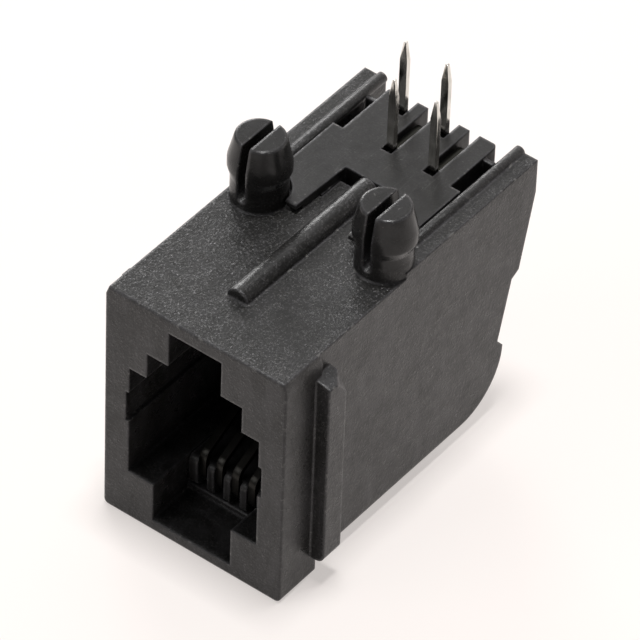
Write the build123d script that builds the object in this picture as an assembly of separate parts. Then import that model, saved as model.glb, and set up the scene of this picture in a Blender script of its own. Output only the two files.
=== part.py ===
from build123d import *
import os
from math import atan2, cos, hypot, radians, sin, tan

# A four-way modular jack for a handset plug, made to be soldered to a circuit board.
# Millimetres. The origin lies midway between the two snap pegs, on the plane where the
# board sits. +Z points from the jack into the board, the plug goes in along +Y, and +X is
# to the right for someone who looks into the opening.
# Depths are measured down from the board-side face, distances back from the opening.

# Footprint on the board
PEG_SPACING = 7.62
PEG_TO_FRONT_PINS = 6.35
PIN_ROW_GAP = 2.54
PIN_PITCH = 1.27
PEG_TO_OPENING = 9.7

# Outside of the housing
BODY_WIDTH = 10.64
BODY_LENGTH = 20.0
BODY_HEIGHT = 13.75
STANDOFF = 0.65
COLLAR_WIDTH = 11.0
COLLAR_HEIGHT = 14.6
COLLAR_LENGTH = 2.8
COLLAR_SLOPE = 0.5
COLLAR_ROUND = 0.3
EDGE_ROUND = 0.12

# Rear edge of the side walls, in steps down from the board side
WALL_STRAIGHT = 1.7
WALL_SLOPE = 0.235
WALL_NOTCH_DEPTH = 6.15
WALL_NOTCH = 0.55
WALL_SHELF_DEPTH = 10.0
WALL_SHELF = 0.45
FAR_CORNER_RADIUS = 3.2

# Raised strips and beads on the side walls, and the rib on the tongue
STRIP_HEIGHT = 0.36
STRIP_WIDTH = 0.82
STRIP_START = 9.5
BEAD_RADIUS = 0.3
BEAD_FROM_SIDE = 1.09
BEAD_START = 11.3
RIB_RADIUS = 0.62
RIB_START = 3.2
TONGUE_WIDTH = 2.8
TONGUE_END = 13.0

# Opening for the plug
LATCH_WIDTH = 3.22
LATCH_TOP = 0.81
SHOULDER_WIDTH = 5.82
SHOULDER_TOP = 2.97
PLUG_WIDTH = 7.96
PLUG_TOP = 4.57
PLUG_BOTTOM = 11.4
KEY_WIDTH = 8.36
KEY_TOP = 6.22
KEY_BOTTOM = 8.15
RECESS_WIDTH = 4.84
RECESS_BOTTOM = 13.92
CHANNEL_FLOOR = 13.4
PLUG_DEPTH = 11.5

# Ribs on both sides that stop the jack at a panel
STOP_PROUD = 1.03
STOP_LENGTH = 1.3
STOP_START = 2.33
STOP_TOP = 1.25
STOP_SLOPE = 0.23
STOP_BOTTOM = 13.15
STOP_CORNER = 0.5
STOP_CUT_SIDEWAYS = 0.6
STOP_CUT_BACK = 0.75
STOP_CUT_DOWN = 0.95

# Split snap pegs, heights above the board plane
PEG_RADIUS = 1.46
PEG_LENGTH = 3.23
PEG_BARB = 0.2
PEG_BARB_START = 0.85
PEG_BARB_FULL = 1.3
PEG_BARB_END = 1.8
PEG_TIP_RADIUS = 1.2
PEG_SLOT_WIDTH = 0.47
PEG_SLOT_BOTTOM = 0.5
PEG_RIM = 0.12

# Rear chamber and the insert that fills it
CHAMBER_WIDTH = 8.0
CLEARANCE = 0.1
PLATE_HEIGHT = 0.57
PLATE_START = 9.75
INSERT_END = 19.4
LIP_ROUND = 0.12
LIP_UNDERCUT = 0.26
LIP_OVERHANG = 0.5
LEG_TAPER = 0.14
LEG_GAP = 2.9
LEG_GAP_END = 13.45
LEG_GAP_DEPTH = 3.0
PEG_CLEARANCE = 0.12
WINDOW_FROM_MIDDLE = 3.3
WINDOW_START = 15.6
WINDOW_LENGTH = 2.6
WINDOW_DEPTH = 4.0
LUG_LENGTH = 0.25
LUG_DROP = 0.13
TAIL_WIDTH = 6.6
TAIL_ROUND = 0.25
NECK_STRAIGHT = 1.4
NECK_SLOPE = 0.244
INSERT_CORNER = 3.0
ARM_TOP = 11.5
ARM_START = 2.75
ARM_BOTTOM = 13.35
NOSE_ROUND = 0.35
COMB_TOP = 5.6
COMB_DEPTH = 1.7
COMB_SLOT = 0.66

# Contacts, bent from flat strip
CONTACT_PITCH = 1.02
WIRE_WIDTH = 0.45
WIRE_THICKNESS = 0.3
WIRE_CLEARANCE = 0.085
PIN_LENGTH = 4.27
PIN_TAPER = 1.1
PIN_TIP = 0.16
PIN_SLOT_FRONT = 0.45
FOOT_HEIGHT = 0.1
FOOT_BEND = 0.35
NECK_BEND = 1.0
JOG_START = 3.2
JOG_END = 6.2
CORNER_BEND = 2.3
LEAD_DEPTH = 12.85
HAIRPIN_BEND = 0.6
HAIRPIN_RISE = 1.8
SPRING_BEND = 0.5
SPRING_STEEP = 26.0
SPRING_KNEE = 6.5
SPRING_FLAT = 11.0
SPRING_END = 12.6

FRONT_Y = -PEG_TO_OPENING
FACE_Z = -STANDOFF
HALF_WIDTH = BODY_WIDTH / 2
PEG_X = PEG_SPACING / 2
FRONT_PIN_Y = PEG_TO_FRONT_PINS
REAR_PIN_Y = PEG_TO_FRONT_PINS + PIN_ROW_GAP
ROOM = 3.0

PIN_XS = [(i - 1.5) * PIN_PITCH for i in range(4)]
SPRING_XS = [(i - 1.5) * CONTACT_PITCH for i in range(4)]
PIN_YS = [REAR_PIN_Y, FRONT_PIN_Y, REAR_PIN_Y, FRONT_PIN_Y]


def behind(distance):
    """Y of a place this far behind the opening's face."""
    return FRONT_Y + distance


def below(depth):
    """Z of a place this far below the board-side face."""
    return FACE_Z - depth


def block(x0, x1, y0, y1, z0, z1):
    """A straight block between two corners."""
    middle = Pos((x0 + x1) / 2, (y0 + y1) / 2, (z0 + z1) / 2)
    return middle * Box(abs(x1 - x0), abs(y1 - y0), abs(z1 - z0))


def across(outline, half_width, middle=0.0):
    """A prism over an outline in the Y-Z plane, this far to both sides of the middle."""
    start = Pos(middle - half_width, 0, 0) * outline
    return extrude(start, 2 * half_width, dir=(1, 0, 0))


def turn(previous, corner, following, bend):
    """Tangent points, middle and centre of the bend at a corner of a path in Y-Z."""
    ay, az = corner[0] - previous[0], corner[1] - previous[1]
    by, bz = following[0] - corner[0], following[1] - corner[1]
    ay, az = ay / hypot(ay, az), az / hypot(ay, az)
    by, bz = by / hypot(by, bz), bz / hypot(by, bz)
    angle = atan2(ay * bz - az * by, ay * by + az * bz)
    side = 1 if angle > 0 else -1
    back = bend * tan(abs(angle) / 2)
    first = (corner[0] - ay * back, corner[1] - az * back)
    last = (corner[0] + by * back, corner[1] + bz * back)
    centre = (first[0] - az * bend * side, first[1] + ay * bend * side)
    return first, last, centre, (ay, az), (by, bz), side


def offset_side(stations, shift):
    """Edges of a bent path, shifted to its left. A station is (y, z, bend radius)."""
    edges = []
    y0, z0 = stations[0][:2]
    y1, z1 = stations[1][:2]
    length = hypot(y1 - y0, z1 - z0)
    at = (0, y0 - (z1 - z0) / length * shift, z0 + (y1 - y0) / length * shift)
    for before, here, after in zip(stations, stations[1:], stations[2:]):
        first, last, centre, coming, going, side = turn(before, here, after, here[2])
        start = (0, first[0] - coming[1] * shift, first[1] + coming[0] * shift)
        end = (0, last[0] - going[1] * shift, last[1] + going[0] * shift)
        radius = here[2] - side * shift
        my, mz = first[0] + last[0] - 2 * centre[0], first[1] + last[1] - 2 * centre[1]
        scale = radius / hypot(my, mz)
        middle = (0, centre[0] + my * scale, centre[1] + mz * scale)
        edges.append(Line(at, start))
        edges.append(ThreePointArc(start, middle, end))
        at = end
    y0, z0 = stations[-2][:2]
    y1, z1 = stations[-1][:2]
    length = hypot(y1 - y0, z1 - z0)
    end = (0, y1 - (z1 - z0) / length * shift, z1 + (y1 - y0) / length * shift)
    edges.append(Line(at, end))
    return edges


def bent_band(stations, inner, outer):
    """Face of a bent path between two offsets, the outer one on its left."""
    left = offset_side(stations, outer)
    right = offset_side(stations, -inner)
    caps = [Line(left[0] @ 0, right[0] @ 0), Line(left[-1] @ 1, right[-1] @ 1)]
    return make_face([*left, *right, *caps])


def wall_outline():
    """Side view of the walls behind the collar, with the stepped and rounded rear edge."""
    rear = behind(BODY_LENGTH)
    notch_y = rear - WALL_SLOPE * (WALL_NOTCH_DEPTH - WALL_STRAIGHT)
    inner_y = notch_y - WALL_NOTCH
    shelf_y = inner_y - WALL_SLOPE * (WALL_SHELF_DEPTH - WALL_NOTCH_DEPTH)
    corner_z = below(BODY_HEIGHT) + FAR_CORNER_RADIUS
    corner_y = shelf_y + WALL_SHELF - FAR_CORNER_RADIUS
    collar_y = behind(COLLAR_LENGTH - 1)
    reach = FAR_CORNER_RADIUS * sin(radians(45))
    upper = Polyline(
        (0, collar_y, FACE_Z),
        (0, behind(STRIP_START), FACE_Z),
        (0, behind(STRIP_START), FACE_Z + STRIP_HEIGHT),
        (0, rear, FACE_Z + STRIP_HEIGHT),
        (0, rear, below(WALL_STRAIGHT)),
        (0, notch_y, below(WALL_NOTCH_DEPTH)),
        (0, inner_y, below(WALL_NOTCH_DEPTH + WALL_NOTCH / 2)),
        (0, shelf_y, below(WALL_SHELF_DEPTH)),
        (0, shelf_y + WALL_SHELF, corner_z),
    )
    arc = ThreePointArc(
        (0, corner_y + FAR_CORNER_RADIUS, corner_z),
        (0, corner_y + reach, corner_z - reach),
        (0, corner_y, corner_z - FAR_CORNER_RADIUS),
    )
    lower = Polyline(
        (0, corner_y, below(BODY_HEIGHT)),
        (0, collar_y, below(BODY_HEIGHT)),
        (0, collar_y, FACE_Z),
    )
    return make_face([*upper.edges(), arc, *lower.edges()])


def plug_cavity():
    """Stepped room for the plug, with the recess for the springs below it."""
    y0 = FRONT_Y - ROOM
    y1 = behind(PLUG_DEPTH)
    steps = [
        (LATCH_WIDTH, LATCH_TOP, PLUG_TOP),
        (SHOULDER_WIDTH, SHOULDER_TOP, PLUG_TOP),
        (PLUG_WIDTH, PLUG_TOP, PLUG_BOTTOM),
        (KEY_WIDTH, KEY_TOP, KEY_BOTTOM),
        (RECESS_WIDTH, PLUG_BOTTOM, RECESS_BOTTOM),
    ]
    blocks = []
    for width, top, bottom in steps:
        overlap = 0.0 if bottom == RECESS_BOTTOM or top == KEY_TOP else 0.1
        blocks.append(block(-width / 2, width / 2, y0, y1, below(top), below(bottom + overlap)))
    channel = block(
        -RECESS_WIDTH / 2, RECESS_WIDTH / 2, behind(COLLAR_LENGTH), y1,
        below(PLUG_BOTTOM - 0.1), below(CHANNEL_FLOOR),
    )
    recess = blocks.pop() & block(
        -ROOM, ROOM, y0, behind(COLLAR_LENGTH), below(PLUG_BOTTOM), below(RECESS_BOTTOM),
    )
    key = blocks.pop()
    main = blocks.pop()
    room = main + key + recess + channel
    for part in blocks:
        room += part
    return room


def rear_chamber():
    """Room between the side walls, open at the rear, the board side and the far side."""
    half = CHAMBER_WIDTH / 2
    open_room = block(
        -half, half, behind(PLUG_DEPTH), behind(BODY_LENGTH + ROOM),
        FACE_Z + ROOM, below(BODY_HEIGHT + ROOM),
    )
    tongue = block(
        -TONGUE_WIDTH / 2, TONGUE_WIDTH / 2, behind(PLUG_DEPTH), behind(TONGUE_END),
        FACE_Z, below(LATCH_TOP),
    )
    return open_room - tongue


def panel_stop(side):
    """One rib on the side wall, nearly flat on top, with its outer rear corner cut off."""
    inner = HALF_WIDTH - 0.3
    outer = HALF_WIDTH + STOP_PROUD
    outline = make_face(Polyline(
        (inner, 0, below(STOP_TOP)),
        (HALF_WIDTH, 0, below(STOP_TOP)),
        (outer, 0, below(STOP_TOP + STOP_SLOPE)),
        (outer, 0, below(STOP_BOTTOM)),
        (inner, 0, below(STOP_BOTTOM)),
        close=True,
    ))
    rib = extrude(Pos(0, behind(STOP_START), 0) * outline, STOP_LENGTH, dir=(0, 1, 0))
    low_edge = rib.edges().filter_by(Axis.Y).group_by(Axis.Z)[0].sort_by(Axis.X)[-1]
    rib = fillet(low_edge, STOP_CORNER)
    rear = behind(STOP_START + STOP_LENGTH)
    top = below(STOP_TOP + STOP_SLOPE)
    along = Vector(outer, rear - STOP_CUT_BACK, top)
    down = Vector(outer, rear, top - STOP_CUT_DOWN)
    sideways = Vector(outer - STOP_CUT_SIDEWAYS, rear, top + STOP_SLOPE / 2)
    slant = Plane(
        origin=(along + down + sideways) / 3,
        x_dir=down - along,
        z_dir=(down - along).cross(sideways - along),
    )
    rib -= slant * Pos(0, 0, ROOM / 2) * Box(2 * ROOM, 2 * ROOM, ROOM)
    return rib if side > 0 else mirror(rib, about=Plane.YZ)


def collar():
    """Block round the mouth, wider and deeper than the walls behind it."""
    half = COLLAR_WIDTH / 2
    outline = make_face(Polyline(
        (-HALF_WIDTH, 0, FACE_Z),
        (HALF_WIDTH, 0, FACE_Z),
        (half, 0, below(COLLAR_SLOPE)),
        (half, 0, below(COLLAR_HEIGHT)),
        (-half, 0, below(COLLAR_HEIGHT)),
        (-half, 0, below(COLLAR_SLOPE)),
        close=True,
    ))
    block_round_mouth = extrude(Pos(0, FRONT_Y, 0) * outline, COLLAR_LENGTH, dir=(0, 1, 0))
    low = block_round_mouth.edges().filter_by(Axis.Y).group_by(Axis.Z)[0]
    rounded = fillet(low, COLLAR_ROUND)
    front = rounded.edges().filter_by(lambda e: abs(e.center().Y - FRONT_Y) < 0.001)
    return fillet(front, EDGE_ROUND)


def peg(side):
    """A split peg whose two halves carry crescent barbs that snap behind the board."""
    base = Pos(0, 0, FACE_Z - 0.3) * Cylinder(
        PEG_RADIUS, PEG_BARB_START + STANDOFF + 0.3, align=(Align.CENTER, Align.CENTER, Align.MIN)
    )
    whole = base
    for way in (-1, 1):
        out = PEG_BARB * way
        rings = [
            (PEG_BARB_START, PEG_RADIUS, 0.0),
            (PEG_BARB_FULL, PEG_RADIUS, out),
            (PEG_BARB_END, PEG_RADIUS, out),
            (PEG_LENGTH, PEG_TIP_RADIUS, out / 2),
        ]
        for (z0, r0, x0), (z1, r1, x1) in zip(rings, rings[1:]):
            part = loft([Pos(x0, 0, z0) * Circle(r0), Pos(x1, 0, z1) * Circle(r1)])
            edge = way * 2 * PEG_RADIUS
            whole += part & block(0, edge, -ROOM, ROOM, z0 - 1, z1 + 1)
    half = PEG_SLOT_WIDTH / 2
    slot_z = FACE_Z + PEG_SLOT_BOTTOM
    whole -= block(-half, half, -ROOM, ROOM, slot_z + half, PEG_LENGTH + 1)
    whole -= Pos(0, 0, slot_z + half) * Rot(90, 0, 0) * Cylinder(half, 2 * ROOM)
    rim = whole.edges().filter_by(GeomType.LINE, reverse=True).filter_by(
        lambda e: abs(e.center().Z - PEG_LENGTH) < 0.001
    )
    whole = fillet(rim, PEG_RIM)
    return Pos(side * PEG_X, 0, 0) * whole


def bead(side):
    """Round bead along the inner edge of a side wall's board side, on a low foot."""
    length = BODY_LENGTH - BEAD_START
    x = side * (HALF_WIDTH - BEAD_FROM_SIDE)
    middle = Pos(x, behind(BEAD_START + length / 2), -BEAD_RADIUS)
    foot = block(
        side * CHAMBER_WIDTH / 2, x + side * BEAD_RADIUS * 0.8,
        behind(BEAD_START), behind(BODY_LENGTH), below(0.2), -BEAD_RADIUS,
    )
    return middle * Rot(90, 0, 0) * Cylinder(BEAD_RADIUS, length) + foot


def tongue_rib():
    """Half-round rib on the middle of the board-side wall and its tongue."""
    length = LEG_GAP_END - 0.05 - RIB_START
    middle = Pos(0, behind(RIB_START + length / 2), -RIB_RADIUS)
    rib = middle * Rot(90, 0, 0) * Cylinder(RIB_RADIUS, length)
    low = block(-ROOM, ROOM, FRONT_Y, behind(BODY_LENGTH), below(0.2), below(ROOM))
    return rib - low


def housing():
    """One moulding: walls, plug cavity, pegs, ribs and the open rear chamber."""
    body = across(wall_outline(), HALF_WIDTH)
    inner = HALF_WIDTH - STRIP_WIDTH
    body -= block(-inner, inner, FRONT_Y, behind(BODY_LENGTH + ROOM), FACE_Z, FACE_Z + ROOM)
    body += collar()
    body -= plug_cavity()
    body -= rear_chamber()
    for side in (-1, 1):
        body += panel_stop(side)
        body += bead(side)
        body += peg(side)
    body += tongue_rib()
    return body


def lead_stations():
    """Path of a contact from the rear groove's top to the hairpin in front."""
    drop = LEAD_DEPTH - NECK_STRAIGHT
    corner_y = REAR_PIN_Y - NECK_SLOPE * drop
    nose_y = behind(ARM_START) + WIRE_THICKNESS / 2
    return [
        (REAR_PIN_Y, below(NECK_STRAIGHT), NECK_BEND),
        (corner_y, below(LEAD_DEPTH), CORNER_BEND),
        (nose_y, below(LEAD_DEPTH), HAIRPIN_BEND),
    ]


def along_neck(depth):
    """Point of a contact's path on the sloped rear groove, and its direction."""
    y = REAR_PIN_Y - NECK_SLOPE * (depth - NECK_STRAIGHT)
    length = hypot(NECK_SLOPE, 1)
    return (y, below(depth)), (-NECK_SLOPE / length, -1 / length)


def upper_stations(pin_y, top):
    """Path from a pin down to where the contacts start to close up."""
    start, _ = along_neck(JOG_START)
    path = [(pin_y, top)]
    if pin_y < REAR_PIN_Y:
        path.append((pin_y, FACE_Z + FOOT_HEIGHT, FOOT_BEND))
        path.append((REAR_PIN_Y, FACE_Z + FOOT_HEIGHT, FOOT_BEND))
    path.append(lead_stations()[0])
    path.append(start)
    return path


def lower_stations():
    """Path from the close-set grooves round the far corner to the spring's free end."""
    start, _ = along_neck(JOG_END)
    _, corner, nose = lead_stations()
    rise = (SPRING_KNEE - ARM_START) * tan(radians(SPRING_STEEP))
    hairpin_top = LEAD_DEPTH - HAIRPIN_RISE
    knee = hairpin_top - rise
    end = knee - (SPRING_END - SPRING_KNEE) * tan(radians(SPRING_FLAT))
    return [
        start,
        corner,
        nose,
        (nose[0], below(hairpin_top), SPRING_BEND),
        (behind(SPRING_KNEE), below(knee), 2.0),
        (behind(SPRING_END), below(end)),
    ]


def jog(x_top, x_low, half, inner, outer):
    """Slanted stretch in which a strip moves from the pin's pitch to the spring's."""
    (y0, z0), (dy, dz) = along_neck(JOG_START)
    (y1, z1), _ = along_neck(JOG_END)
    length = hypot(y1 - y0, z1 - z0)
    plane = Plane(origin=(0, y0, z0), x_dir=(1, 0, 0), z_dir=(0, -dz, dy))
    outline = make_face(Polyline(
        (x_top - half, 0), (x_top + half, 0), (x_low + half, length), (x_low - half, length),
        close=True,
    ))
    part = Pos(0, 0, -inner) * extrude(outline, inner + outer, dir=(0, 0, 1))
    return plane * part


def contact(index):
    """One bent strip: solder pin, lead round the insert, hairpin and spring."""
    x_pin, x_spring = PIN_XS[index], SPRING_XS[index]
    half = WIRE_WIDTH / 2
    depth = WIRE_THICKNESS / 2
    shoulder = PIN_LENGTH - PIN_TAPER
    upper = across(bent_band(upper_stations(PIN_YS[index], shoulder), depth, depth), half, x_pin)
    lower = across(bent_band(lower_stations(), depth, depth), half, x_spring)
    middle = jog(x_pin, x_spring, half, depth, depth)
    tip = loft([
        Pos(x_pin, PIN_YS[index], shoulder) * Rectangle(WIRE_WIDTH, WIRE_THICKNESS),
        Pos(x_pin, PIN_YS[index], PIN_LENGTH) * Rectangle(PIN_TIP, PIN_TIP),
    ])
    return upper + tip + middle + lower


def groove(index):
    """Room for one contact in the insert: slot in the plate, then a groove all round."""
    x_pin, x_spring = PIN_XS[index], SPRING_XS[index]
    inner = WIRE_THICKNESS / 2
    outer = 1.6
    half = WIRE_WIDTH / 2 + WIRE_CLEARANCE
    front_y = PIN_YS[index] - PIN_SLOT_FRONT
    foot_z = FACE_Z + FOOT_HEIGHT
    path = upper_stations(REAR_PIN_Y, FACE_Z + 2)
    if PIN_YS[index] < REAR_PIN_Y:
        path = [(front_y, foot_z), *upper_stations(FRONT_PIN_Y, 0)[2:]]
    upper = across(bent_band(path, inner, outer), half, x_pin)
    slot = block(
        x_pin - half, x_pin + half, front_y, REAR_PIN_Y - FOOT_BEND,
        foot_z - inner, FACE_Z + 2,
    )
    if PIN_YS[index] == REAR_PIN_Y:
        slot = block(
            x_pin - half, x_pin + half, front_y, REAR_PIN_Y, foot_z - inner, FACE_Z + 2,
        )
    *_, nose = lead_stations()
    lower_path = [*lower_stations()[:3], (nose[0], below(ARM_TOP - 1))]
    lower = across(bent_band(lower_path, inner, outer), half, x_spring)
    middle = jog(x_pin, x_spring, half, inner, outer)
    comb_half = COMB_SLOT / 2
    comb = block(
        x_spring - comb_half, x_spring + comb_half,
        behind(PLUG_DEPTH) - 1, behind(PLUG_DEPTH + CLEARANCE + COMB_DEPTH),
        below(COMB_TOP), below(ARM_TOP),
    )
    return [upper, slot, lower, middle, comb]


def insert_outline():
    """Side view of the insert: plate, rear block with a rounded far corner, and arm."""
    foot_y = behind(INSERT_END) - NECK_SLOPE * (ARM_BOTTOM - NECK_STRAIGHT)
    corner = turn(
        (behind(INSERT_END), below(NECK_STRAIGHT)),
        (foot_y, below(ARM_BOTTOM)),
        (behind(ARM_START), below(ARM_BOTTOM)),
        INSERT_CORNER,
    )
    first, last, centre = corner[:3]
    my, mz = first[0] + last[0] - 2 * centre[0], first[1] + last[1] - 2 * centre[1]
    scale = INSERT_CORNER / hypot(my, mz)
    upper = Polyline(
        (0, *last),
        (0, behind(ARM_START), below(ARM_BOTTOM)),
        (0, behind(ARM_START), below(ARM_TOP)),
        (0, behind(PLUG_DEPTH + CLEARANCE), below(ARM_TOP)),
        (0, behind(PLUG_DEPTH + CLEARANCE), FACE_Z),
        (0, behind(PLATE_START), FACE_Z),
        (0, behind(PLATE_START), FACE_Z + PLATE_HEIGHT),
        (0, behind(INSERT_END), FACE_Z + PLATE_HEIGHT),
        (0, behind(INSERT_END), below(NECK_STRAIGHT)),
        (0, *first),
    )
    arc = ThreePointArc(
        (0, *first), (0, centre[0] + my * scale, centre[1] + mz * scale), (0, *last)
    )
    return make_face([*upper.edges(), arc])


def contact_insert():
    """The moulding that closes the rear and carries the four contacts in grooves."""
    body = across(insert_outline(), CHAMBER_WIDTH / 2 - CLEARANCE)
    lip = body.edges().filter_by(Axis.X).filter_by(
        lambda e: abs(e.center().Y - behind(PLATE_START)) < 0.01 and e.center().Z > FACE_Z + 0.3
    )
    body = fillet(lip, LIP_ROUND)
    nose = body.edges().filter_by(Axis.X).filter_by(
        lambda e: abs(e.center().Y - behind(ARM_START)) < 0.01 and e.center().Z < below(ARM_TOP - 0.5)
    )
    body = fillet(nose, NOSE_ROUND)
    body -= block(
        -ROOM * 2, ROOM * 2, behind(PLATE_START) - 1, behind(PLATE_START + LIP_OVERHANG),
        FACE_Z - 0.5, FACE_Z + LIP_UNDERCUT,
    )
    tail = TAIL_WIDTH / 2
    tail_start = WINDOW_START + WINDOW_LENGTH + LUG_LENGTH
    arm = RECESS_WIDTH / 2 - CLEARANCE / 2
    for side in (-1, 1):
        body -= block(
            side * arm, side * ROOM * 2, behind(0), behind(PLUG_DEPTH + CLEARANCE),
            below(ARM_TOP - 0.5), below(ARM_BOTTOM + 1),
        )
        body -= block(
            side * tail, side * ROOM * 2, behind(tail_start), behind(BODY_LENGTH + 1),
            FACE_Z + ROOM, below(BODY_HEIGHT),
        )
        body -= block(
            side * WINDOW_FROM_MIDDLE, side * ROOM * 2,
            behind(WINDOW_START), behind(WINDOW_START + WINDOW_LENGTH),
            FACE_Z + ROOM, below(WINDOW_DEPTH),
        )
        body -= block(
            side * tail, side * ROOM * 2,
            behind(WINDOW_START + WINDOW_LENGTH / 2), behind(tail_start),
            FACE_Z + PLATE_HEIGHT - LUG_DROP, FACE_Z + ROOM,
        )
        ring = PEG_RADIUS + PEG_CLEARANCE
        body -= Pos(side * PEG_X, 0, FACE_Z) * Cylinder(
            ring, ROOM, align=(Align.CENTER, Align.CENTER, Align.MIN)
        )
        body -= block(
            side * (PEG_X - ring), side * ROOM * 2, behind(PLATE_START) - 1, 0,
            FACE_Z, FACE_Z + ROOM,
        )
    gap = LEG_GAP / 2
    wide = gap + LEG_TAPER
    outline = make_face(Polyline(
        (-gap, behind(LEG_GAP_END)), (gap, behind(LEG_GAP_END)),
        (wide, behind(PLATE_START)), (wide, behind(PLATE_START) - 1),
        (-wide, behind(PLATE_START) - 1), (-wide, behind(PLATE_START)), close=True,
    ))
    body -= extrude(Pos(0, 0, FACE_Z) * outline, ROOM, dir=(0, 0, 1))
    body -= block(
        -gap, gap, behind(PLATE_START), behind(LEG_GAP_END), below(LATCH_TOP + CLEARANCE), FACE_Z,
    )
    body -= block(
        -gap, gap, behind(TONGUE_END), behind(LEG_GAP_END), below(LEG_GAP_DEPTH), FACE_Z + ROOM,
    )
    corners = body.edges().filter_by(Axis.Z).filter_by(
        lambda e: abs(e.center().Y - behind(INSERT_END)) < 0.01
    )
    body = fillet(corners, TAIL_ROUND)
    for index in range(4):
        for part in groove(index):
            body -= part
    return body


def write(shape, name):
    """Write one solid under its node name."""
    solid = shape.solids().sort_by(SortBy.VOLUME)[-1]
    solid.label = name
    export_step(solid, f"parts/{name}.step")


os.makedirs("parts", exist_ok=True)
write(housing(), "housing")
write(contact_insert(), "contact_insert")
for number in range(4):
    write(contact(number), f"contact_{number + 1}")
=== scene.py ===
import math

import bmesh
import bpy
from mathutils import Matrix, Vector


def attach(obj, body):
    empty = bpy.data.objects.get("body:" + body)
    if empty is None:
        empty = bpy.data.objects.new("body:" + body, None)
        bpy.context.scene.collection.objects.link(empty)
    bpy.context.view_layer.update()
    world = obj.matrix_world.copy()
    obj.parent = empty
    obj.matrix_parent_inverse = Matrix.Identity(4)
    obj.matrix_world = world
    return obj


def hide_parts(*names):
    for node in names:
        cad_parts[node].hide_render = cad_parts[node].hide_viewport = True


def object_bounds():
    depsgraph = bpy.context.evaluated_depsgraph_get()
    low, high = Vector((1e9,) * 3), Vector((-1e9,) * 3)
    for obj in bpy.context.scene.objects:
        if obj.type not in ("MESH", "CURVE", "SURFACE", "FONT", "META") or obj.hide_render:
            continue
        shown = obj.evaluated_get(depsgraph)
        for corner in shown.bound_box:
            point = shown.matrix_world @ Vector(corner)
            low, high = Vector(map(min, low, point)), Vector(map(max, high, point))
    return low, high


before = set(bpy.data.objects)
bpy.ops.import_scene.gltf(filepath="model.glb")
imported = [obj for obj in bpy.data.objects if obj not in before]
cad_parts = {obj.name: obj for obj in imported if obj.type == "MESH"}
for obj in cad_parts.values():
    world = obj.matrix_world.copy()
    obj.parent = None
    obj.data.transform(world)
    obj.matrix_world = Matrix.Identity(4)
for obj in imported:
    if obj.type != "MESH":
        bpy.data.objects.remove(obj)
cad_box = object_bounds()

MM = 0.001
FLOOR_Z = cad_box[0][2]

# The photograph's camera, solved from the edges of the part: degrees and millimetres
AZIMUTH = 36.52
ELEVATION = 43.55
ROLL = 2.17
EYE = (147.145, -198.718, 228.409)
LENS = 393.75
SENSOR = 36
SHIFT = (0.00347, -0.00144)

# Heights above the board plane between which the surface changes, in millimetres
PEGS = (0.1, 0.35)
RIBS = (-0.6, -0.4)
BOARD_SIDE = (-1.1, -0.7)
PIN_ROOTS = (-0.1, 0.1)
# Below this band the painted shade on the strips inside the housing is darkest
SPRINGS = (-4, -2)

# Rounded edges, in millimetres
MOULDED_EDGE = 0.09
CUT_EDGE = 0.03
EDGE_SEGMENTS = 2
EDGE_ANGLE = 28
# Width of the edge band that is partly wear and partly a painted highlight, and of the rounded
# shading normal
WORN_SHEEN_WIDTH = 0.2

# Soft boxes: name, place and size in millimetres, power in watts
LIGHTS = [
    ("back_box", (-230, 300, 290), 600, 0.85),
    ("top_box", (0, 20, 460), 90, 2.4),
    ("front_box", (-190, -300, 260), 260, 0.42),
    ("low_box", (-330, 262, 130), 160, 0.75),
]
LIGHT_TARGET = (0, 0, -6)
WORLD_STRENGTH = 0.15

# Floor, in metres
FLOOR_HALF = 1.2
FLOOR_RISE = 1.2
FLOOR_BEND = 0.4
FLOOR_STEPS = 12
FLOOR_GLOW = 0.51


# Camera at the photograph's viewing angle

def add_camera():
    """The photograph's camera: a long lens, seen from the front, the right and above."""
    azimuth, elevation, roll = math.radians(AZIMUTH), math.radians(ELEVATION), math.radians(ROLL)
    back = Vector((
        math.sin(azimuth) * math.cos(elevation),
        -math.cos(azimuth) * math.cos(elevation),
        math.sin(elevation),
    ))
    right = Vector((0, 0, 1)).cross(back).normalized()
    up = back.cross(right)
    across = right * math.cos(roll) + up * math.sin(roll)
    upward = up * math.cos(roll) - right * math.sin(roll)
    data = bpy.data.cameras.new("camera")
    data.lens = LENS
    data.sensor_width = SENSOR
    data.shift_x, data.shift_y = SHIFT
    camera = bpy.data.objects.new("camera", data)
    turn = Matrix((across, upward, back)).transposed().to_4x4()
    camera.matrix_world = Matrix.Translation(Vector(EYE) * MM) @ turn
    bpy.context.scene.collection.objects.link(camera)
    bpy.context.scene.camera = camera


# Node helpers

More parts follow.
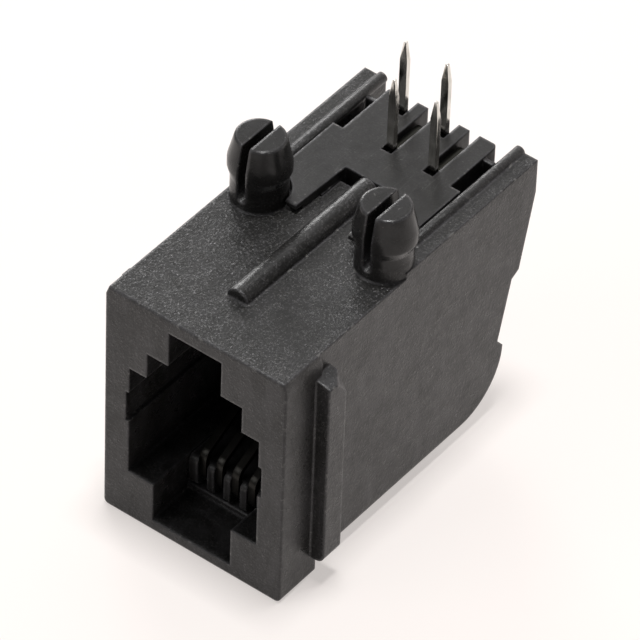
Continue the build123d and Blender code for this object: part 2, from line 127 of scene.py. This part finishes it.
class Nodes:
    """A material's node tree with short ways to add and join nodes."""

    def __init__(self, name):
        self.material = bpy.data.materials.new(name)
        self.material.use_nodes = True
        self.tree = self.material.node_tree
        self.shader = self.tree.nodes["Principled BSDF"]
        coordinates = self.tree.nodes.new("ShaderNodeTexCoord")
        self.place = coordinates.outputs["Object"]

    def add(self, kind, inputs=None, **settings):
        """A new node with these settings and inputs."""
        node = self.tree.nodes.new(kind)
        for key, value in settings.items():
            setattr(node, key, value)
        for key, value in (inputs or {}).items():
            self.put(node.inputs[key], value)
        return node

    def put(self, socket, value):
        """A link where the value is another node's output, and otherwise the plain value."""
        if isinstance(value, bpy.types.NodeSocket):
            self.tree.links.new(value, socket)
        else:
            socket.default_value = value

    def height(self):
        """Height above the board plane, in metres."""
        return self.add("ShaderNodeSeparateXYZ", {"Vector": self.place}).outputs["Z"]

    def mapped(self, scale, rotation=(0, 0, 0)):
        """The object's own coordinates, turned and scaled, to draw a pattern out."""
        return self.add(
            "ShaderNodeMapping", {"Vector": self.place, "Rotation": rotation, "Scale": scale}
        ).outputs["Vector"]

    def noise(self, size, detail=3.0, rough=0.5, distortion=0.0, place=None):
        """Noise from 0 to 1 whose features are about this many millimetres large."""
        return self.add("ShaderNodeTexNoise", {
            "Vector": place or self.place, "Scale": 1 / (size * MM), "Detail": detail,
            "Roughness": rough, "Distortion": distortion,
        }).outputs["Fac"]

    def specks(self, size, least):
        """Scattered round specks of uneven strength, 0 to 1, on cells of this many millimetres."""
        cells = self.add("ShaderNodeTexVoronoi", {
            "Vector": self.place, "Scale": 1 / (size * MM), "Randomness": 1.0,
        })
        chance = self.add("ShaderNodeSeparateColor", {"Color": cells.outputs["Color"]})
        strength = self.ramp(chance.outputs["Red"], least, 1.0)
        return self.times(strength, self.ramp(cells.outputs["Distance"], 0.6, 0.2))

    def ramp(self, value, low, high, start=0.0, end=1.0):
        """A value mapped from low..high to start..end and clamped."""
        return self.add("ShaderNodeMapRange", {
            "Value": value, "From Min": low, "From Max": high, "To Min": start, "To Max": end,
        }).outputs["Result"]

    def above(self, height, band, start=0.0, end=1.0):
        """Start below this band of heights in millimetres, end above it."""
        return self.ramp(height, band[0] * MM, band[1] * MM, start, end)

    def math(self, operation, a, b):
        return self.add("ShaderNodeMath", {0: a, 1: b}, operation=operation).outputs[0]

    def times(self, a, b):
        return self.math("MULTIPLY", a, b)

    def mix(self, factor, a, b):
        """Colour b over colour a."""
        return self.add(
            "ShaderNodeMix", {"Factor": factor, "A": a, "B": b}, data_type="RGBA"
        ).outputs["Result"]

    def bump(self, height, strength, depth, normal=None):
        """A normal bent by this height, whose full range is this many millimetres deep."""
        inputs = {"Height": height, "Strength": strength, "Distance": depth * MM}
        if normal is not None:
            inputs["Normal"] = normal
        return self.add("ShaderNodeBump", inputs).outputs["Normal"]

    def edge_mask(self):
        """1 along the edges and 0 elsewhere, with the rounded normal that shows them."""
        rounded = self.add("ShaderNodeBevel", {"Radius": WORN_SHEEN_WIDTH * MM}, samples=6)
        rounded = rounded.outputs["Normal"]
        flat = self.add("ShaderNodeNewGeometry").outputs["Normal"]
        along = self.add(
            "ShaderNodeVectorMath", {0: rounded, 1: flat}, operation="DOT_PRODUCT"
        ).outputs["Value"]
        return self.ramp(along, 0.998, 0.97), rounded


# Materials

def toned(tone, shares):
    """A colour made of one tone and its share in red, green and blue."""
    return tuple(tone * share for share in shares) + (1,)


def plastic(name, tone, grain, gloss, ior):
    """Dark moulded plastic: grainy board side, smoother walls, worn edges lightened partly by a
    painted edge highlight, flecks of dust.
    """
    n = Nodes(name)
    dark = toned(tone, (0.74, 0.71, 0.68))
    light = toned(tone, (1.55, 1.50, 1.44))
    pale = toned(tone, (6.0, 5.8, 6.1))
    white = toned(tone, (15, 14.6, 14))

    # Where the surface is textured: the board side most, the walls less, the pegs hardly
    height = n.height()
    pegs = n.above(height, PEGS)
    texture = n.times(
        n.above(height, BOARD_SIDE, 0.8, 1.0),
        n.times(n.ramp(pegs, 0.0, 1.0, 1.0, 0.15), n.above(height, RIBS, 1.0, 0.8)),
    )
    uneven = n.times(texture, n.ramp(n.noise(1.3, 2.0, 0.5), 0.35, 0.6, 0.35, 1.0))

    # Broad and small cloudy tones
    broad = n.noise(2.6, 3.0, 0.55)
    patch = n.noise(0.55, 4.0, 0.6)
    colour = n.mix(n.ramp(patch, 0.35, 0.72), dark, light)
    colour = n.mix(n.ramp(broad, 0.42, 0.75, 0.0, 0.5), colour, light)

    # Grain: specks with bright points among them
    fine = n.noise(0.16, 3.0, 0.65)
    coarse = n.times(n.specks(0.13, 0.15), n.ramp(fine, 0.40, 0.56))
    colour = n.mix(n.times(coarse, n.times(uneven, grain)), colour, pale)
    points = n.times(n.specks(0.085, 0.5), uneven)
    colour = n.mix(n.times(points, 0.55 * grain), colour, white)

    # Scratches, flow marks down the walls and flecks of dust
    turned = n.mapped((1.0, 0.07, 1.0), (0.5, 0.3, 0.6))
    scratches = n.ramp(n.noise(0.13, 1.0, 0.4, 1.2, turned), 0.64, 0.74)
    colour = n.mix(n.times(scratches, n.times(uneven, 0.13)), colour, white)
    flow = n.noise(1.3, 4.0, 0.6, 0.8, n.mapped((1.0, 1.0, 0.35)))
    walls = n.above(height, BOARD_SIDE, 1.0, 0.3)
    colour = n.mix(n.times(n.ramp(flow, 0.40, 0.68, 0.0, 0.4), walls), colour, pale)
    flecks = n.ramp(n.noise(0.21, 1.0, 0.4, 0.6), 0.77, 0.79)
    colour = n.mix(n.times(flecks, 0.35), colour, white)

    # Worn and nicked edges: the pale band along every edge is partly wear and partly a painted
    # edge highlight
    edge, rounded = n.edge_mask()
    worn_edge_sheen = n.times(edge, n.ramp(n.noise(0.45, 3.0, 0.6), 0.3, 0.6, 0.35, 1.0))
    nicks = n.times(edge, n.ramp(n.noise(0.3, 2.0, 0.5, 0.5), 0.6, 0.68))
    colour = n.mix(worn_edge_sheen, colour, pale)
    colour = n.mix(nicks, colour, white)
    n.put(n.shader.inputs["Base Color"], colour)

    # Gloss: smoother on the pegs, duller where the walls were rubbed
    rubs = n.noise(0.5, 3.0, 0.6, 0.4, n.mapped((1.0, 0.22, 1.0)))
    shine = n.ramp(patch, 0.3, 0.75, gloss + 0.07, gloss - 0.07)
    shine = n.math("ADD", shine, n.ramp(rubs, 0.5, 0.75, 0.0, 0.08))
    shine = n.math("SUBTRACT", shine, n.ramp(pegs, 0.0, 1.0, 0.0, 0.08))
    n.put(n.shader.inputs["Roughness"], shine)
    n.shader.inputs["IOR"].default_value = ior

    # Relief: fine lumps of the grain, then shallow waves of the mould
    lumps = n.math("ADD", n.times(coarse, 0.5), fine)
    relief = n.bump(n.times(lumps, texture), grain, 0.025, rounded)
    waves = n.times(patch, n.ramp(pegs, 0.0, 1.0, 1.0, 0.2))
    n.put(n.shader.inputs["Normal"], n.bump(waves, grain * 0.6, 0.018, relief))
    return n.material


def tin(name):
    """Tin-plated strip, streaked and bright on the pins; rougher inside the housing, where its
    colour is painted near-black as shade.
    """
    n = Nodes(name)
    height = n.height()
    outside = n.above(height, PIN_ROOTS)
    streak = n.noise(0.5, 3.0, 0.6, place=n.mapped((3.0, 3.0, 0.35)))
    patch = n.noise(0.9, 1.5, 0.5)
    bright = n.mix(n.ramp(patch, 0.35, 0.7), (0.60, 0.58, 0.54, 1), (0.86, 0.84, 0.79, 1))
    bright = n.mix(n.ramp(streak, 0.5, 0.75, 0.0, 0.5), bright, (0.30, 0.28, 0.25, 1))
    # Painted shade: inside the housing the strips are coloured near-black, darkest deep down
    painted_shade_inside = n.mix(n.above(height, SPRINGS), (0.024, 0.023, 0.021, 1), (0.03, 0.03, 0.026, 1))
    n.put(n.shader.inputs["Base Color"], n.mix(outside, painted_shade_inside, bright))
    n.shader.inputs["Metallic"].default_value = 1.0
    rough = n.ramp(patch, 0.3, 0.7, 0.14, 0.24)
    rough = n.math("ADD", rough, n.ramp(outside, 0.0, 1.0, 0.14, 0.0))
    n.put(n.shader.inputs["Roughness"], rough)
    n.put(n.shader.inputs["Normal"], n.bump(streak, 0.1, 0.003))
    return n.material


MATERIALS = {
    "housing": plastic("housing_plastic", 0.0095, 0.95, 0.30, 1.35),
    "insert": plastic("insert_plastic", 0.0095, 0.3, 0.34, 1.33),
    "contact": tin("tin_plate"),
}


# The moulded and bent pieces, with their edges broken

def near(value, place, within):
    """Whether a coordinate in metres is this close to a place in millimetres."""
    return abs(value - place * MM) < within * MM


def close_recess(work):
    """The latch recess floor's rear edge raised to the wall behind it, to keep light out."""
    for vert in work.verts:
        at_edge = near(vert.co.y, -6.9, 0.03) and near(vert.co.z, -14.57, 0.04)
        if at_edge and abs(vert.co.x) < 4 * MM:
            vert.co.z = -14.38 * MM


def crease_barbs(work):
    """A crisp line round each peg where its barb starts and where it is full."""
    for edge in work.edges:
        for height in (0.85, 1.3):
            if all(near(vert.co.z, height, 0.01) for vert in edge.verts):
                edge.smooth = False


def fill_chamber(work):
    """The insert's sides below the plate out to the chamber's walls, to keep light out."""
    for vert in work.verts:
        if near(abs(vert.co.x), 3.9, 0.01) and vert.co.z < -1.2 * MM:
            vert.co.x = math.copysign(3.992 * MM, vert.co.x)


def softened(node, name, slot, width, changes=()):
    """The node's own shape with small rounded edges, standing for the node."""
    mesh = bpy.data.meshes.new(name)
    work = bmesh.new()
    work.from_mesh(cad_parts[node].data)
    bmesh.ops.remove_doubles(work, verts=work.verts, dist=0.002 * MM)
    bmesh.ops.dissolve_limit(
        work, angle_limit=math.radians(0.6), verts=work.verts, edges=work.edges,
        delimit={"NORMAL"},
    )
    for change in changes:
        change(work)
    work.to_mesh(mesh)
    work.free()
    piece = bpy.data.objects.new(name, mesh)
    bpy.context.scene.collection.objects.link(piece)
    for face in mesh.polygons:
        face.use_smooth = True
    mesh.materials.clear()
    mesh.materials.append(MATERIALS[slot])
    bevel = piece.modifiers.new("edges", "BEVEL")
    bevel.width = width * MM
    bevel.segments = EDGE_SEGMENTS
    bevel.limit_method = "ANGLE"
    bevel.angle_limit = math.radians(EDGE_ANGLE)
    bevel.use_clamp_overlap = True
    weighted = piece.modifiers.new("normals", "WEIGHTED_NORMAL")
    weighted.mode = "FACE_AREA"
    weighted.weight = 100
    weighted.keep_sharp = True
    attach(piece, "root")
    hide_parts(node)


softened(
    "housing", "housing_moulding", "housing", MOULDED_EDGE, (close_recess, crease_barbs)
)
softened("contact_insert", "insert_moulding", "insert", MOULDED_EDGE, (fill_chamber,))
for number in range(1, 5):
    softened(f"contact_{number}", f"contact_strip_{number}", "contact", CUT_EDGE)


# Floor and light

def add_floor():
    """A plain pale sheet that curves up behind the object."""
    mesh = bpy.data.meshes.new("floor")
    profile = [(-FLOOR_HALF * 1.5, 0.0)]
    for step in range(FLOOR_STEPS + 1):
        angle = math.radians(90 * step / FLOOR_STEPS)
        profile.append((
            FLOOR_HALF - FLOOR_BEND + FLOOR_BEND * math.sin(angle),
            FLOOR_BEND * (1 - math.cos(angle)),
        ))
    profile.append((FLOOR_HALF, FLOOR_RISE))
    verts, faces = [], []
    for y, z in profile:
        verts += [(-2 * FLOOR_HALF, y, z), (2 * FLOOR_HALF, y, z)]
    for i in range(len(profile) - 1):
        faces.append((2 * i, 2 * i + 1, 2 * i + 3, 2 * i + 2))
    mesh.from_pydata(verts, [], faces)
    for face in mesh.polygons:
        face.use_smooth = True
    floor = bpy.data.objects.new("floor", mesh)
    floor.location = (0, 0, FLOOR_Z)
    bpy.context.scene.collection.objects.link(floor)
    n = Nodes("pale_floor")
    n.shader.inputs["Base Color"].default_value = (0.34, 0.32, 0.308, 1)
    n.shader.inputs["Emission Color"].default_value = (1.0, 0.94, 0.91, 1)
    n.shader.inputs["Emission Strength"].default_value = FLOOR_GLOW
    n.shader.inputs["Roughness"].default_value = 0.8
    n.shader.inputs["Specular IOR Level"].default_value = 0.2
    mesh.materials.append(n.material)


def add_light(name, place, size, power):
    """A square soft box that points at the object."""
    data = bpy.data.lights.new(name, "AREA")
    data.size = size * MM
    data.energy = power
    light = bpy.data.objects.new(name, data)
    light.location = Vector(place) * MM
    aim = Vector(LIGHT_TARGET) * MM - light.location
    light.rotation_euler = aim.to_track_quat("-Z", "Y").to_euler()
    bpy.context.scene.collection.objects.link(light)


def add_world():
    """An even, weak white surround, shown without a film look."""
    world = bpy.data.worlds.new("studio")
    world.use_nodes = True
    background = world.node_tree.nodes["Background"]
    background.inputs["Color"].default_value = (1, 1, 1, 1)
    background.inputs["Strength"].default_value = WORLD_STRENGTH
    bpy.context.scene.world = world
    bpy.context.scene.view_settings.view_transform = "Standard"
    bpy.context.scene.view_settings.look = "None"


add_camera()
add_floor()
for light in LIGHTS:
    add_light(*light)
add_world()
